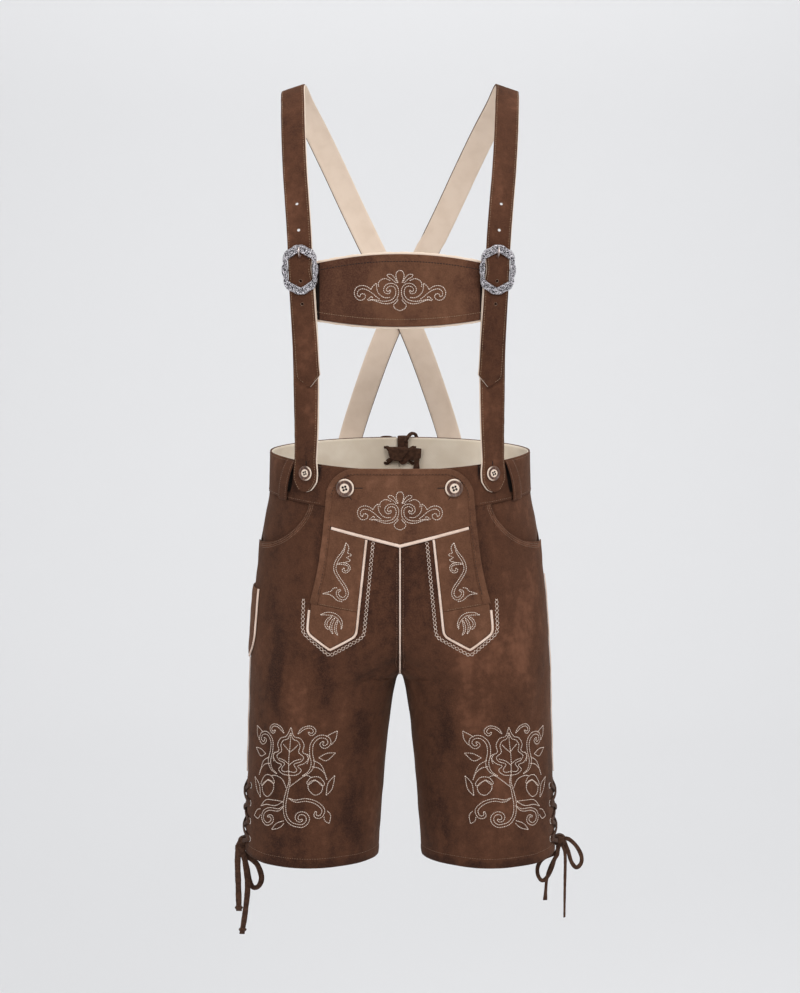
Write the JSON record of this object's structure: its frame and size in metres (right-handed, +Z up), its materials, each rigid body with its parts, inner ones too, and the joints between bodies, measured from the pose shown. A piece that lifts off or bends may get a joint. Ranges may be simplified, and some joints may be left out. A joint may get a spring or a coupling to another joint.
{
  "type": "lederhosen",
  "caption": "Knee-length suede lederhosen with a drop-front flap, laced hems, shoulder straps with buckles and an embroidered chest bar, open and hollow as worn.",
  "frame": {"origin": "midway between the tops of the two shoulder straps, where a wearer's shoulders or a hanger hold the garment up", "axes": "+Z up, the front faces -Y, +X is the viewer's right when looking at the front"},
  "size_m": [0.4591, 0.2603, 1.1147],
  "materials": {
    "suede": "dark brown suede with a short mottled nap",
    "suede_light": "slightly lighter brown suede of the flap, pocket and chest bar",
    "strap_lining": "cream smooth leather lining of straps and chest bar",
    "band_lining": "greyish-cream waistband lining",
    "piping": "pale cream leather piping",
    "lace": "dark brown suede thong",
    "silver": "antique silver with darkened hollows",
    "horn": "brown imitation horn with a pale centre"
  },
  "bodies": {
    "root": {"back_lace": "lace", "back_left": "suede", "back_right": "suede", "belt_loop_back_left": "suede", "belt_loop_back_right": "suede", "belt_loop_front_left": "suede", "belt_loop_front_right": "suede", "buckle_left": "silver", "buckle_right": "silver", "button_back_left": "horn", "button_back_right": "horn", "button_flap_left": "horn", "button_flap_right": "horn", "button_strap_left": "horn", "button_strap_right": "horn", "chest_bar": "suede_light", "chest_bar_lining": "strap_lining", "flap_point_left": "suede_light", "flap_point_right": "suede_light", "flap_rim": "suede_light", "flap_strip_left": "suede_light", "flap_strip_right": "suede_light", "flap_yoke": "suede_light", "front_left": "suede", "front_right": "suede", "knife_pocket": "suede_light", "knife_pocket_piping": "piping", "lace_end_left_long": "lace", "lace_end_left_short": "lace", "lace_end_right_long": "lace", "lace_end_right_short": "lace", "lace_knot_left": "lace", "lace_knot_right": "lace", "lace_loop_left": "lace", "lace_loop_right_big": "lace", "lace_loop_right_small": "lace", "lower_strap_left": "suede", "lower_strap_lining_left": "strap_lining", "lower_strap_lining_right": "strap_lining", "lower_strap_right": "suede", "piping_centre": "piping", "piping_strip_left": "piping", "piping_strip_right": "piping", "piping_yoke": "piping", "pocket_bearer_left": "suede", "pocket_bearer_right": "suede", "prong_left": "silver", "prong_right": "silver", "side_lace_left": "lace", "side_lace_right": "lace", "side_piping_left": "piping", "side_piping_right": "piping", "strap_left": "suede", "strap_lining_left": "strap_lining", "strap_lining_right": "strap_lining", "strap_right": "suede", "waistband_left": "suede", "waistband_lining_left": "band_lining", "waistband_lining_right": "band_lining", "waistband_right": "suede"}
  },
  "joints": []
}
